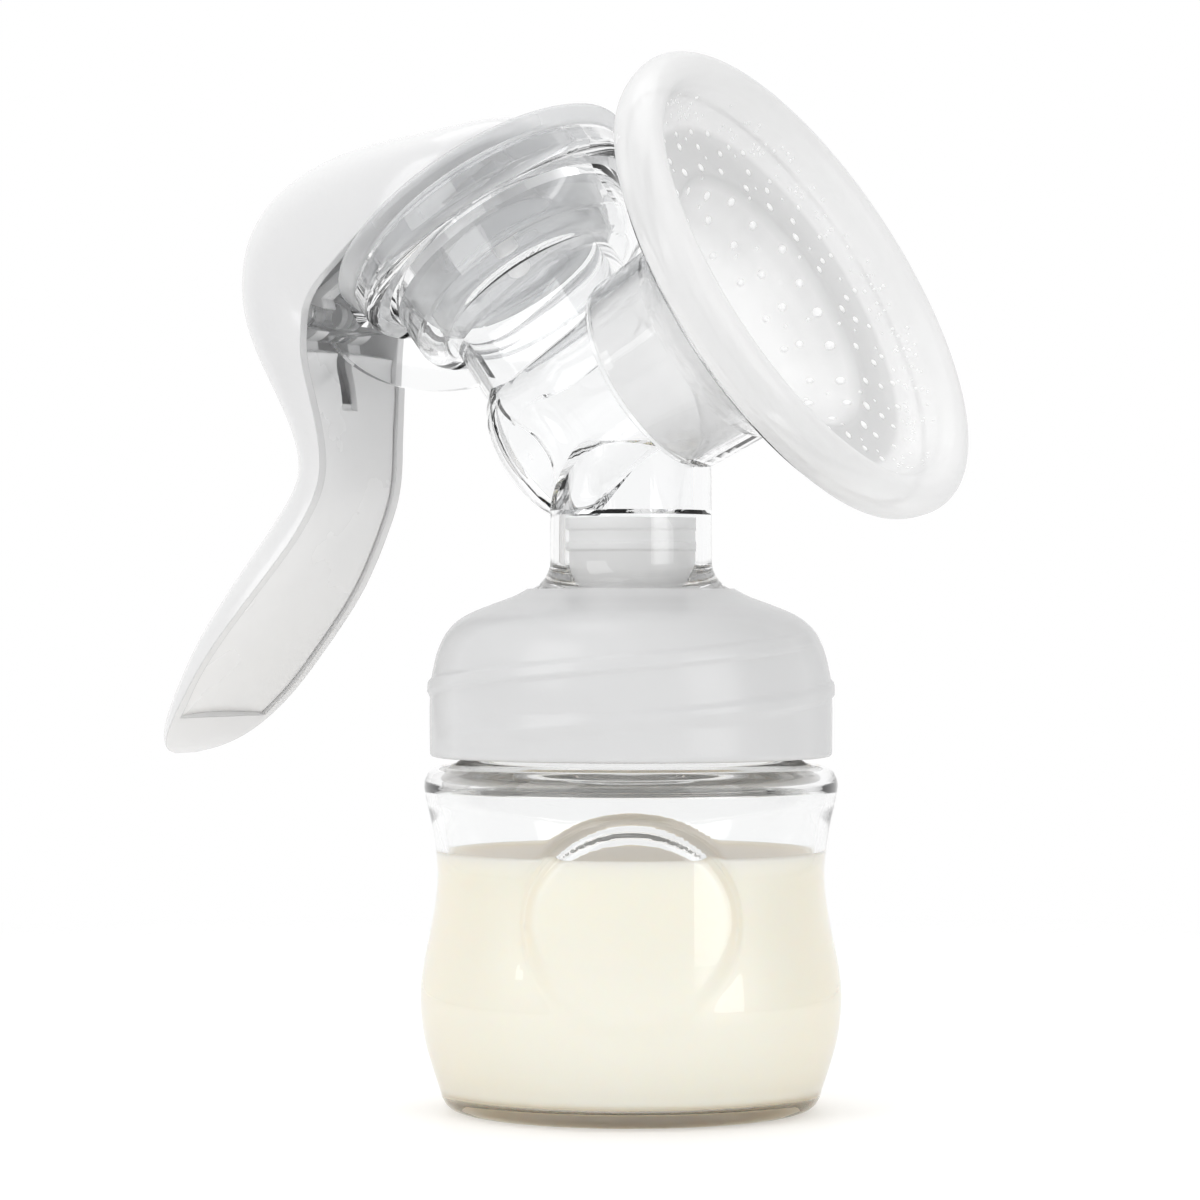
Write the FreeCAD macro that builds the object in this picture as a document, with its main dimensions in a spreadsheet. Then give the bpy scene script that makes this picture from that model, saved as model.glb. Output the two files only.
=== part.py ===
import FreeCAD, Part
import math
import os
import sys

import Sketcher

# Manual breast pump: a bottle with a screw collar, a clear pump body, a duckbill valve, a cushion
# in the funnel, a diaphragm with its stem, and a squeeze handle on a hinge.
# Frame: +Z up, origin at the centre of the bottle's base, +X towards the breast funnel,
# XZ is the mirror plane.  Millimetres and degrees.

V = FreeCAD.Vector
doc = FreeCAD.newDocument("manual_breast_pump")

# ---------------------------------------------------------------------------
# Driving dimensions
# ---------------------------------------------------------------------------
DIMS = [
    # bottle
    ("bottle_base_r", 27.6), ("bottle_belly_r", 33.0), ("bottle_waist_r", 30.3),
    ("bottle_shoulder_r", 32.4), ("bottle_shoulder_z", 53.6), ("bottle_wall", 1.8),
    ("bottle_floor", 2.4), ("bottle_mouth_z", 70.0), ("bottle_neck_r", 26.6),
    ("bottle_bore_r", 24.2), ("thread_lead", 6.0), ("thread_depth", 1.8),
    ("medallion_r", 16.6), ("medallion_z", 30.4), ("medallion_face_r", 33.5),
    ("medallion_turn", -61.0),
    # screw collar
    ("collar_r", 31.55), ("collar_base_z", 55.0), ("collar_bore_r", 28.9),
    ("collar_hole_r", 15.9), ("collar_top_z", 81.3), ("grip_lead", 17.6), ("grip_height", 0.45),
    # neck, foot and valve
    ("neck_r", 12.6), ("neck_bore_r", 10.4), ("foot_r", 26.2), ("foot_z", 70.25),
    ("foot_thick", 2.75), ("valve_r", 9.7), ("valve_rib_r", 10.33), ("valve_top_z", 92.3),
    ("valve_wall", 1.3), ("valve_tip_z", 66.0),
    # cup that holds the diaphragm
    ("cup_x", -27.75), ("cup_z", 142.38), ("cup_lean", 36.08), ("cup_wall_r", 20.5),
    ("cup_wall", 1.8), ("cup_depth", 18.8), ("cup_flange_r", 24.8), ("cup_flange_top", 3.15),
    ("cup_flange_bottom", 8.5),
    # funnel and tube
    ("funnel_x", 29.75), ("funnel_z", 128.41), ("funnel_rise", 28.68), ("tube_r", 14.7),
    ("tube_bore_r", 13.1), ("tube_end", 55.6), ("step_at", 29.4), ("funnel_seat_r", 14.7),
    ("funnel_rim_r", 36.7),
    # soft parts
    ("cushion_r", 40.8), ("cushion_bore_r", 12.4), ("diaphragm_rim_r", 26.35),
    ("diaphragm_thick", 1.2), ("diaphragm_hole_r", 1.75),
    # stem
    ("stem_r", 1.7), ("stem_flange_r", 4.2), ("stem_head_r", 3.8),
    # handle and hinge
    ("pivot_x", -56.5), ("pivot_z", 126.0), ("pin_r", 2.2), ("pin_half", 10.0),
    ("lug_half", 4.0), ("clip_gap", 0.05), ("clip_r", 4.7), ("handle_wall", 1.9),
    ("fork_slot", 2.15),
]
# No profile reads this thickness: the diaphragm's two measured curves set it.
DIMS.remove(("diaphragm_thick", 1.2))

sheet = doc.addObject("Spreadsheet::Sheet", "Dims")
for row, (alias, value) in enumerate(DIMS, start=1):
    sheet.set("A%d" % row, alias)
    sheet.set("B%d" % row, str(value))
    sheet.setAlias("B%d" % row, alias)
doc.recompute()


class Driven:
    """A length held twice: its number, and the spreadsheet expression that drives it."""

    def __init__(self, value, text):
        self.value = float(value)
        self.text = text

    @staticmethod
    def of(other):
        return other if isinstance(other, Driven) else Driven(other, repr(float(other)))

    def __add__(self, other):
        other = Driven.of(other)
        return Driven(self.value + other.value, "(%s + %s)" % (self.text, other.text))

    def __sub__(self, other):
        other = Driven.of(other)
        return Driven(self.value - other.value, "(%s - %s)" % (self.text, other.text))

    def __mul__(self, other):
        other = Driven.of(other)
        return Driven(self.value * other.value, "(%s * %s)" % (self.text, other.text))

    def __neg__(self):
        return Driven(-self.value, "(0 - %s)" % self.text)


def val(alias):
    return float(sheet.get(alias))


def dim(alias):
    return Driven(val(alias), "Dims.%s" % alias)


def dims(*aliases):
    return [dim(alias) for alias in aliases]


def num(length):
    return length.value if isinstance(length, Driven) else float(length)


def drive(obj, prop, length):
    """Set a property, through an expression where the length is driven."""
    if isinstance(length, Driven):
        obj.setExpression(prop, length.text)
    else:
        setattr(obj, prop, length)


# ---------------------------------------------------------------------------
# Outlines: a closed loop is a list of a start point and steps.  A bare point is a straight
# line to it; arc() and curve() give the rest.  An open end is closed by a straight line.
# ---------------------------------------------------------------------------
def arc(middle, end):
    return ("arc", [middle, end])


def curve(points):
    """A smooth curve; its first point is where the step before it ends."""
    return ("curve", points[1:])


def gap(a, b):
    return math.hypot(num(b[0]) - num(a[0]), num(b[1]) - num(a[1]))


def segments(outline):
    """The outline as (kind, points) pairs, each with its own start point."""
    here = outline[0]
    found = []
    for step in outline[1:]:
        kind, points = step if isinstance(step[0], str) else ("line", [step])
        found.append((kind, [here] + points))
        here = points[-1]
    if gap(here, outline[0]) > 1e-6:
        found.append(("line", [here, outline[0]]))
    return found


def draw(sketch, outline):
    """Draw a closed loop.  Segment starts are dimensioned from the origin, and every
    start coordinate given as a Driven is bound to the spreadsheet."""
    segs = segments(outline)
    ids = []
    for kind, points in segs:
        p = [V(num(x), num(y), 0) for x, y in points]
        if kind == "line":
            shape = Part.LineSegment(p[0], p[1])
        elif kind == "arc":
            shape = Part.Arc(p[0], p[1], p[2])
        else:
            shape = Part.BSplineCurve()
            shape.interpolate(p)
        ids.append(sketch.addGeometry(shape, False))
    # The sketcher may store an arc reversed, so find which of its ends is the start.
    ends = []
    for gid, (kind, points) in zip(ids, segs):
        start = V(num(points[0][0]), num(points[0][1]), 0)
        first = 1 if (sketch.getPoint(gid, 1) - start).Length < 1e-4 else 2
        ends.append((first, 3 - first))
    for k in range(len(segs)):
        after = (k + 1) % len(segs)
        sketch.addConstraint(Sketcher.Constraint(
            "Coincident", ids[k], ends[k][1], ids[after], ends[after][0]))
    for gid, (first, _), (kind, points) in zip(ids, ends, segs):
        for direction, length in zip(("DistanceX", "DistanceY"), points[0]):
            index = sketch.addConstraint(
                Sketcher.Constraint(direction, -1, 1, gid, first, num(length)))
            if isinstance(length, Driven):
                sketch.setExpression("Constraints[%d]" % index, length.text)
        if kind == "arc":
            radius = sketch.Geometry[gid].Radius
            # A near half circle is already fixed by its ends.
            if gap(points[0], points[2]) < 1.9 * radius:
                sketch.addConstraint(Sketcher.Constraint("Radius", gid, radius))


# ---------------------------------------------------------------------------
# Solids
# ---------------------------------------------------------------------------
def sketched_body(name, plane_role, outline):
    body = doc.addObject("PartDesign::Body", name)
    sketch = body.newObject("Sketcher::SketchObject", name + "_profile")
    plane = [o for o in body.Origin.OriginFeatures if getattr(o, "Role", "") == plane_role][0]
    sketch.AttachmentSupport = [(plane, "")]
    sketch.MapMode = "FlatFace"
    draw(sketch, outline)
    return body, sketch


def revolve(name, outline, frame=None):
    """A body of revolution about its own Z axis, drawn as (radius, height)."""
    body, sketch = sketched_body(name, "XZ_Plane", outline)
    turned = body.newObject("PartDesign::Revolution", name + "_turn")
    turned.Profile = sketch
    turned.ReferenceAxis = (sketch, ["V_Axis"])
    turned.Angle = 360.0
    body.Tip = turned
    doc.recompute()
    if frame:
        body.Placement = frame
    return body


def pad(name, plane_role, outline, length):
    """A plate.  On XZ its thickness is split evenly each side of the mirror plane."""
    body, sketch = sketched_body(name, plane_role, outline)
    plate = body.newObject("PartDesign::Pad", name + "_pad")
    plate.Profile = sketch
    if plane_role == "XZ_Plane":
        plate.SideType = "Symmetric"
    drive(plate, "Length", length)
    body.Tip = plate
    doc.recompute()
    return body


def feature(kind, name, **properties):
    made = doc.addObject(kind, name)
    for prop, setting in properties.items():
        drive(made, prop, setting)
    doc.recompute()
    return made


def fuse(name, *parts):
    return feature("Part::MultiFuse", name, Shapes=list(parts))


def cut(name, base, tool):
    return feature("Part::Cut", name, Base=base, Tool=tool)


def cylinder(name, radius, height, placement):
    return feature("Part::Cylinder", name, Radius=radius, Height=height, Placement=placement)


def box(name, length, width, height, placement):
    return feature("Part::Box", name, Length=length, Width=width, Height=height,
                   Placement=placement)


def place(x, y, z, tilt=0.0):
    """A position, tilted about Y."""
    return FreeCAD.Placement(V(x, y, z), FreeCAD.Rotation(V(0, 1, 0), tilt))


def thread(name, root_r, crest_r, lead, start_z, turns, half_root, half_crest, turn):
    """A trapezoid tooth swept along a helix that starts at angle turn about Z."""
    start = FreeCAD.Placement(V(0, 0, start_z), FreeCAD.Rotation(V(0, 0, 1), turn))
    helix = doc.addObject("Part::Helix", name + "_path")
    drive(helix, "Pitch", lead)
    drive(helix, "Height", lead * turns)
    drive(helix, "Radius", root_r)
    helix.Placement = start
    root, crest = num(root_r), num(crest_r)
    tooth = doc.addObject("Part::Feature", name + "_tooth")
    tooth.Shape = Part.makePolygon([
        V(root, 0, -half_root), V(crest, 0, -half_crest), V(crest, 0, half_crest),
        V(root, 0, half_root), V(root, 0, -half_root)])
    tooth.Placement = start
    doc.recompute()
    path_edges = ["Edge%d" % (i + 1) for i in range(len(helix.Shape.Edges))]
    return feature("Part::Sweep", name, Sections=[tooth], Spine=(helix, path_edges),
                   Solid=True, Frenet=True)


NODES = {}


def node(name, obj):
    obj.Label = name
    NODES[name] = obj


# Local frames.  The cup's axis leans back to -X, over the handle; its origin is in the rim plane.
# The funnel's axis rises towards +X; its origin is at the mouth and the tube lies below it.
CUP = place(val("cup_x"), 0, val("cup_z"), -val("cup_lean"))
FUNNEL = place(val("funnel_x"), 0, val("funnel_z"), 90.0 - val("funnel_rise"))
LEAN_COS = math.cos(math.radians(val("cup_lean")))
LEAN_SIN = math.sin(math.radians(val("cup_lean")))


def cup_xz(across, up):
    """(x, z) of a mirror-plane point given across the cup and up from its rim plane."""
    return (val("cup_x") + across * LEAN_COS - up * LEAN_SIN,
            val("cup_z") + across * LEAN_SIN + up * LEAN_COS)


def pivot_cylinder(name, radius, start_y, length):
    """A cylinder on the hinge axis, running from start_y towards -Y."""
    placement = FreeCAD.Placement(V(val("pivot_x"), start_y, val("pivot_z")),
                                  FreeCAD.Rotation(V(1, 0, 0), 90))
    return cylinder(name, radius, length, placement)


# ---------------------------------------------------------------------------
# Bottle: waisted, with a wide threaded neck and a round pad on its side
# ---------------------------------------------------------------------------
# Shared by the bottle's thread and the collar's.
THREAD = dict(start_z=58.6, turns=1.25, half_root=1.35, half_crest=0.75)
THREAD_TURN = 40.0
THREAD_SINK = 0.4  # how far a tooth's root is sunk in its wall
MEDALLION_FILLET = 2.2


def build_bottle():
    base_r, belly, waist, shoulder = dims(
        "bottle_base_r", "bottle_belly_r", "bottle_waist_r", "bottle_shoulder_r")
    shoulder_z, mouth, neck = dims("bottle_shoulder_z", "bottle_mouth_z", "bottle_neck_r")
    wall, floor, bore = dims("bottle_wall", "bottle_floor", "bottle_bore_r")
    # (radius, height) up the side
    side = [(29.9, 3.0), (31.3, 7.2), (32.45, 11.6), (belly, 17.2), (32.5, 22.4), (31.5, 27.4),
            (30.7, 31.8), (waist, 36.2), (30.6, 40.6), (31.25, 44.8), (32.1, 48.4),
            (shoulder, 50.4)]
    outer = revolve("bottle_outer", [
        (0, 0), (base_r, 0), arc((29.15, 0.95), side[0]), curve(side),
        arc((31.75, 52.6), (29.9, shoulder_z)),
        (neck + 0.5, shoulder_z + 0.5), (neck, shoulder_z + 1.3),
        (neck, mouth - 0.6), (neck - 0.6, mouth), (0, mouth),
    ])
    inside = [(28.2, 5.0), (29.5, 8.0), (30.6, 11.9), (belly - wall, 17.2), (30.75, 22.2),
              (29.8, 27.2), (28.95, 31.8), (waist - wall, 36.2), (28.8, 40.6), (29.45, 44.8),
              (30.3, 48.0), (shoulder - wall, 49.8)]
    inner = revolve("bottle_inner", [
        (0, floor), (24.6, floor), arc((27.1, 3.3), inside[0]), curve(inside),
        arc((29.6, 51.4), (27.6, shoulder_z - 1.7)),
        (bore, shoulder_z - 0.6), (bore, mouth + 2), (0, mouth + 2),
    ])
    # Round pad: a radial cylinder trimmed to an upright one, its rim filleted.
    radial = (FreeCAD.Rotation(V(0, 0, 1), val("medallion_turn"))
              * FreeCAD.Rotation(V(0, 1, 0), 90))
    core = cylinder("pad_core", dim("medallion_r"), 40,
                    FreeCAD.Placement(V(0, 0, val("medallion_z")), radial))
    face = cylinder("pad_face", dim("medallion_face_r"), 60, place(0, 0, 0))
    raw = feature("Part::MultiCommon", "pad_raw", Shapes=[core, face])
    rim_edges = []
    for i, edge in enumerate(raw.Shape.Edges, start=1):
        middle = edge.valueAt((edge.FirstParameter + edge.LastParameter) / 2)
        on_face = math.hypot(middle.x, middle.y) > val("medallion_face_r") - 0.01
        if on_face and edge.Length > 5:
            rim_edges.append((i, MEDALLION_FILLET, MEDALLION_FILLET))
    medallion = feature("Part::Fillet", "pad_fillet", Base=raw, Edges=rim_edges)
    tooth = thread("bottle_thread", neck - THREAD_SINK, neck + dim("thread_depth"),
                   dim("thread_lead"), turn=THREAD_TURN, **THREAD)
    skin_ = fuse("bottle_skin", outer, medallion, tooth)
    node("bottle", cut("bottle", skin_, inner))


# ---------------------------------------------------------------------------
# Screw collar: domed union nut with an internal thread and two helical grip ridges
# ---------------------------------------------------------------------------
RIDGE = dict(start_z=58.2, turns=0.48, half_root=2.4, half_crest=0.9)
RIDGE_TURN = -131.6
RIDGE_SINK = 1.2


def build_collar():
    outer_r, base_z, top_z, hole, bore = dims(
        "collar_r", "collar_base_z", "collar_top_z", "collar_hole_r", "collar_bore_r")
    # (radius, height) over the dome
    dome = [(outer_r, 62.5), (31.35, 66.6), (30.9, 69.2), (30.2, 71.8), (29.0, 74.2),
            (27.3, 76.1), (25.0, 77.5), (21.8, 78.8), (18.6, 80.0), (16.6, 81.0)]
    shell = revolve("collar_shell", [
        (bore, base_z), (outer_r - 0.7, base_z),
        arc((31.3, 55.25), (outer_r - 0.05, base_z + 0.9)),
        dome[0], curve(dome), (hole, top_z), (hole, 79.0),
        (24.2, 75.3), (26.6, 73.35), (bore, 73.35),
    ])
    tooth = thread("collar_thread", bore + THREAD_SINK, bore - dim("thread_depth"),
                   dim("thread_lead"), turn=THREAD_TURN + 180.0, **THREAD)
    ridges = [
        thread("grip_ridge_%d" % (k + 1), outer_r - RIDGE_SINK, outer_r + dim("grip_height"),
               dim("grip_lead"), turn=RIDGE_TURN + 180.0 * k, **RIDGE)
        for k in range(2)
    ]
    node("screw_collar", fuse("screw_collar", shell, tooth, *ridges))


# ---------------------------------------------------------------------------
# Pump body: funnel and tube, diaphragm cup, duct, neck with foot, hinge lug, web and pin.
# Each hollow region returns its outside and its inside.
# ---------------------------------------------------------------------------
def build_funnel():
    tube_r, bore, end, step_at, seat_r, rim = dims(
        "tube_r", "tube_bore_r", "tube_end", "step_at", "funnel_seat_r", "funnel_rim_r")
    # (radius, height) from the tube out to the rim
    flare_out = [(17.3, -18.0), (19.5, -14.9), (23.2, -11.8), (28.6, -9.3), (34.0, -6.9),
                 (rim, -5.9)]
    outer = revolve("funnel_outer", [
        (0, -end), (6.0, -end + 0.15), arc((11.3, -end + 1.5), (13.1, -end + 3.7)),
        (tube_r, -step_at - 1.0), (16.4, -step_at), (16.8, -step_at + 1.2),
        flare_out[0], curve(flare_out), arc((37.15, -4.95), (rim, -4.0)), (0, -4.0),
    ], FUNNEL)
    flare_in = [(15.4, -18.0), (17.9, -14.1), (22.2, -10.4), (28.0, -7.5), (33.6, -5.2),
                (36.2, -4.2)]
    inner = revolve("funnel_inner", [
        (0, -end + 1.6), (6.0, -end + 1.8), arc((10.2, -end + 2.9), (11.55, -end + 4.6)),
        (bore, -step_at - 0.7), (seat_r, -step_at - 0.7),
        flare_in[0], curve(flare_in), (36.2, 0), (0, 0),
    ], FUNNEL)
    return outer, inner


def build_cup():
    wall_r, wall, depth = dims("cup_wall_r", "cup_wall", "cup_depth")
    flange_r, top, bottom = dims("cup_flange_r", "cup_flange_top", "cup_flange_bottom")
    outer = revolve("cup_outer", [
        (0, -depth), (17.4, -depth), arc((19.45, -17.9), (wall_r - 0.15, -15.8)),
        (wall_r, -bottom - 1.3), (21.3, -bottom), (23.1, -bottom + 0.1),
        arc((24.35, -bottom + 0.75), (flange_r, -bottom + 2.2)),
        (flange_r, -top - 0.3), (flange_r - 0.3, -top), (22.3, -top),
        (22.3, -1.5), (0, -1.5),
    ], CUP)
    inner = revolve("cup_inner", [
        (0, -depth + wall), (16.2, -depth + wall), arc((17.85, -16.35), (18.55, -14.8)),
        (wall_r - wall, -1.0), (0, -1.0),
    ], CUP)
    return outer, inner


DUCT_X0, DUCT_X1 = -6.6, 5.2  # centres of the duct's round ends, across the cup
DUCT_HALF = 9.4
DUCT_WALL = 1.6


def build_duct():
    """A long rounded box between the cup floor and the tube, open inside."""
    ducts = []
    # name, half width, start below the cup's underside, length
    for name, half, below, length in [
        ("duct_outer", DUCT_HALF, 19.0, 20.0),
        ("duct_inner", DUCT_HALF - DUCT_WALL, 15.4, 18.4),
    ]:
        duct = pad(name, "XY_Plane", [
            (DUCT_X0, -half), (DUCT_X1, -half), arc((DUCT_X1 + half, 0), (DUCT_X1, half)),
            (DUCT_X0, half), arc((DUCT_X0 - half, 0), (DUCT_X0, -half)),
        ], length)
        duct.Placement = CUP.multiply(place(0, 0, -val("cup_depth") - below))
        ducts.append(duct)
    return ducts


def build_neck():
    neck, bore, foot_z, foot_r, thick = dims(
        "neck_r", "neck_bore_r", "foot_z", "foot_r", "foot_thick")
    outer = revolve("neck_outer", [
        (0, foot_z), (foot_r - 0.4, foot_z), (foot_r, foot_z + 0.4),
        (foot_r, foot_z + thick - 0.3), (foot_r - 0.3, foot_z + thick),
        (23.8, 75.0), (15.6, 78.75), (15.6, 81.2), arc((13.55, 82.9), (neck + 0.1, 86.2)),
        (neck, 104.0), (0, 104.0),
    ])
    inner = revolve("neck_inner", [
        (0, foot_z - 2), (22.6, foot_z - 2), (22.6, foot_z + 1.2), (13.6, 77.0), (11.4, 77.6),
        (bore, 79.0), (bore, 92.8), (bore - 0.7, 93.5), (bore - 0.7, 106.5), (0, 106.5),
    ])
    return outer, inner


WEB_THICK = 2.8
# (x, z) along the web's lower edge, from the hinge to the neck
WEB_EDGE = [(-57.4, 124.2), (-54.4, 120.4), (-50.4, 117.2), (-46.6, 115.3), (-42.7, 114.0),
            (-38.9, 113.3), (-35.0, 113.1), (-31.0, 113.3), (-26.3, 114.1)]


def build_hinge():
    """The lug round the hinge, the web under it, and the pin."""
    pivot_x, pivot_z, pin_half = dims("pivot_x", "pivot_z", "pin_half")
    lug = pad("hinge_lug", "XZ_Plane", [
        cup_xz(-21.5, -8.0), (pivot_x + 2.6, pivot_z - 3.6),
        arc((pivot_x - 4.44, pivot_z), (pivot_x + 2.6, pivot_z + 3.6)),
        cup_xz(-27.2, 2.2), cup_xz(-27.2, -3.4), cup_xz(-21.5, -3.4),
    ], dim("lug_half") * 2)
    web = pad("lug_web", "XZ_Plane", [
        cup_xz(-19.6, -7.0), cup_xz(-27.3, -3.6), (pivot_x, pivot_z),
        WEB_EDGE[0], curve(WEB_EDGE), cup_xz(-13.5, -17.6),
    ], WEB_THICK)
    pin = pivot_cylinder("hinge_pin", dim("pin_r"), val("pin_half"), pin_half * 2)
    return lug, web, pin


def build_pump_body():
    hollows = [build_funnel(), build_cup(), build_duct(), build_neck()]
    outsides = [outer for outer, inner in hollows]
    insides = [inner for outer, inner in hollows]
    outside = fuse("body_outside", *outsides, *build_hinge())
    inside = fuse("body_inside", *insides)
    node("pump_body", cut("pump_body", outside, inside))


# ---------------------------------------------------------------------------
# Duckbill valve, pushed into the neck from below
# ---------------------------------------------------------------------------
OVAL_POINTS = 24
OVAL_POWER = 0.8  # below 1 squares the oval's corners
TIP_Z = val("valve_tip_z")
# (half x, half y, z) of each section, top down
BILL_OUTSIDE = [(9.6, 9.6, 77.4), (9.4, 7.2, 73.6), (8.8, 3.4, 69.2), (8.2, 1.25, TIP_Z)]
BILL_INSIDE = [(8.6, 8.6, 79.4), (8.2, 5.9, 74.0), (7.5, 2.2, 69.6), (7.0, 0.22, TIP_Z - 0.6)]


def signed_power(base, power):
    return math.copysign(abs(base) ** power, base)


def oval(name, half_x, half_y, z):
    """A closed rounded slot outline at height z."""
    points = []
    for i in range(OVAL_POINTS):
        angle = 2 * math.pi * i / OVAL_POINTS
        points.append(V(half_x * signed_power(math.cos(angle), OVAL_POWER),
                        half_y * signed_power(math.sin(angle), OVAL_POWER), z))
    spline = Part.BSplineCurve()
    spline.interpolate(points, PeriodicFlag=True)
    outline = doc.addObject("Part::Feature", name)
    outline.Shape = Part.Wire([spline.toShape()])
    return outline


def bill(name, prefix, sections):
    ovals = [oval("%s%d" % (prefix, i), *size) for i, size in enumerate(sections, start=1)]
    return feature("Part::Loft", name, Sections=ovals, Solid=True, Ruled=False)


def build_valve():
    outer_r, rib, top, wall = dims("valve_r", "valve_rib_r", "valve_top_z", "valve_wall")
    bore = outer_r - wall
    barrel = revolve("valve_barrel", [
        (bore, top), (rib, top), (rib, top - 1.8), (outer_r, top - 2.0),
        (outer_r, top - 3.8), (rib, top - 4.0), (rib, top - 5.0), (outer_r, top - 5.2),
        (outer_r, 79.2), (10.9, 77.4), (10.9, 76.2), (9.4, 76.2), (bore, 79.2),
    ])
    bill_outside = bill("bill_outside", "bo", BILL_OUTSIDE)
    bill_inside = bill("bill_inside", "bi", BILL_INSIDE)
    valve_skin = fuse("valve_skin", barrel, bill_outside)
    node("duckbill_valve", cut("duckbill_valve", valve_skin, bill_inside))


# ---------------------------------------------------------------------------
# Massage cushion: silicone liner of the funnel with a rolled rim
# ---------------------------------------------------------------------------
def build_cushion():
    bore, outer_r, step_at, seat_r = dims(
        "cushion_bore_r", "cushion_r", "step_at", "funnel_seat_r")
    # (radius, height): seat against the funnel, rolled lip, then the face back to the bore
    seat = [(15.15, -17.9), (17.6, -13.85), (21.95, -10.1), (27.8, -7.2), (33.4, -4.9),
            (36.0, -3.8)]
    face = [(34.5, 0.1), (33.2, -2.3), (31.2, -4.0), (28.2, -4.9), (24.8, -5.4), (22.4, -6.1),
            (19.6, -9.0), (15.8, -13.4), (13.6, -18.6), (bore + 0.2, -23.0)]
    lip = [(37.5, -5.0), (39.2, -4.5), (40.3, -2.7), (outer_r, -0.2), (40.2, 1.6),
           (38.9, 2.75), (37.4, 3.0), (35.9, 2.4), (35.0, 1.3), face[0]]
    node("massage_cushion", revolve("massage_cushion", [
        (bore, -step_at + 0.3), (seat_r - 0.25, -step_at + 0.3), seat[0], curve(seat),
        (37.4, -3.8), lip[0], curve(lip), curve(face),
    ], FUNNEL))


# ---------------------------------------------------------------------------
# Diaphragm: silicone bowl with a rim over the cup, and the stem clipped through its hub
# ---------------------------------------------------------------------------
def build_diaphragm():
    rim, hole = dims("diaphragm_rim_r", "diaphragm_hole_r")
    # (radius, height): underside from the wall to the hub, upper side from the hub to the wall
    under = [(18.35, -1.3), (18.15, -5.0), (17.75, -9.0), (16.9, -12.0), (15.2, -13.4),
             (13.3, -12.7), (11.6, -10.2), (9.6, -7.7), (7.4, -6.75), (5.4, -6.7)]
    over = [(5.2, -5.3), (7.6, -5.4), (10.3, -6.6), (12.5, -9.3), (14.1, -11.5),
            (15.2, -12.1), (16.0, -11.2), (16.6, -8.8), (17.0, -5.0), (17.2, -0.9)]
    node("diaphragm", revolve("diaphragm", [
        (hole, -6.7), (hole, -5.0), over[0], curve(over), arc((17.55, -0.25), (18.3, 0)),
        (rim - 0.9, 0), arc((rim - 0.25, -0.27), (rim, -0.9)),
        (rim - 0.9, -2.6), (rim - 1.3, -3.0), (22.45, -3.0), (22.45, -1.38),
        under[0], curve(under),
    ], CUP))


def build_stem():
    shaft, flange, head = dims("stem_r", "stem_flange_r", "stem_head_r")
    node("diaphragm_stem", revolve("diaphragm_stem", [
        (0, -12.2), (shaft - 0.3, -12.2), (shaft + 0.15, -11.7), (shaft + 0.15, -8.3),
        # flange under the diaphragm's hub
        (flange - 0.6, -8.1), (flange, -7.6), (flange, -6.8), (shaft, -6.8),
        # flange above the hub, and a small collar
        (shaft, -4.9), (flange, -4.9), (flange - 0.3, -3.9), (shaft + 0.5, -3.5),
        (shaft + 0.5, 0.6), (flange - 0.8, 1.0), (flange - 0.8, 1.6), (shaft, 1.7),
        # head
        (shaft, 5.9), (head, 6.0), (head, 7.0), (head - 0.2, 7.6), (head - 0.75, 8.1),
        (head - 1.9, 8.5), (0, 8.5),
    ], CUP))


# ---------------------------------------------------------------------------
# Handle: a curved shell, open along one side, that runs from over the cup down the grip.
# Each station is a point on the open edge (rim), a point on the outer spine, and a half width.
# ---------------------------------------------------------------------------
# Over the cup: rim across, rim up, spine across, spine up, half width (cup coordinates)
CUP_STATIONS = [
    (15.6, 2.2, 16.1, 3.0, 3.2), (14.9, 1.9, 15.9, 4.5, 8.0), (13.0, 1.8, 14.5, 6.2, 12.8),
    (8.8, 1.8, 11.0, 8.4, 17.0), (2.6, 1.8, 5.0, 11.6, 19.6), (-4.6, 1.8, -2.4, 15.8, 20.4),
    (-12.0, 1.8, -10.2, 19.8, 19.8), (-19.0, 1.8, -18.4, 22.6, 18.3),
    (-25.0, 1.6, -27.2, 23.5, 16.8), (-28.3, 0.5, -33.8, 21.8, 16.0),
]
# Down the grip: rim x, rim z, spine x, spine z, half width
GRIP_STATIONS = [
    (-51.3, 123.4, -69.6, 133.0, 16.0), (-51.5, 119.0, -68.4, 124.9, 15.8),
    (-51.1, 114.2, -65.1, 117.4, 14.8), (-50.5, 109.0, -61.5, 110.7, 13.5),
    (-50.1, 104.0, -58.9, 104.4, 12.6), (-50.2, 99.6, -58.4, 100.7, 12.4),
    (-51.2, 95.6, -58.9, 98.2, 12.8), (-53.2, 91.4, -60.4, 95.4, 13.5),
    (-56.6, 85.9, -63.5, 90.5, 14.9), (-60.5, 80.6, -66.7, 85.7, 16.3),
    (-65.0, 75.1, -70.4, 80.2, 17.0), (-69.3, 69.9, -74.0, 74.8, 17.0),
    (-73.3, 64.8, -77.4, 69.0, 16.1), (-77.3, 60.2, -80.6, 63.6, 14.2),
    (-80.8, 56.8, -83.2, 59.3, 11.2), (-83.4, 54.9, -84.9, 56.5, 7.2),
    (-84.8, 54.1, -85.7, 55.0, 2.8),
]
STATIONS = [(cup_xz(*row[0:2]), cup_xz(*row[2:4]), row[4]) for row in CUP_STATIONS]
STATIONS += [(row[0:2], row[2:4], row[4]) for row in GRIP_STATIONS]
HOLLOW_STATIONS = STATIONS[2:-3]
LINER_STATIONS = STATIONS[11:-3]
SECTION_POWER = 2.35  # superellipse exponent of the cross-sections
HOLLOW_OVERRUN = 14  # degrees the hollow's sections run past the open edge at each side
SEW_TOLERANCE = 1e-4
HANDLE_WALL = val("handle_wall")


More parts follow.
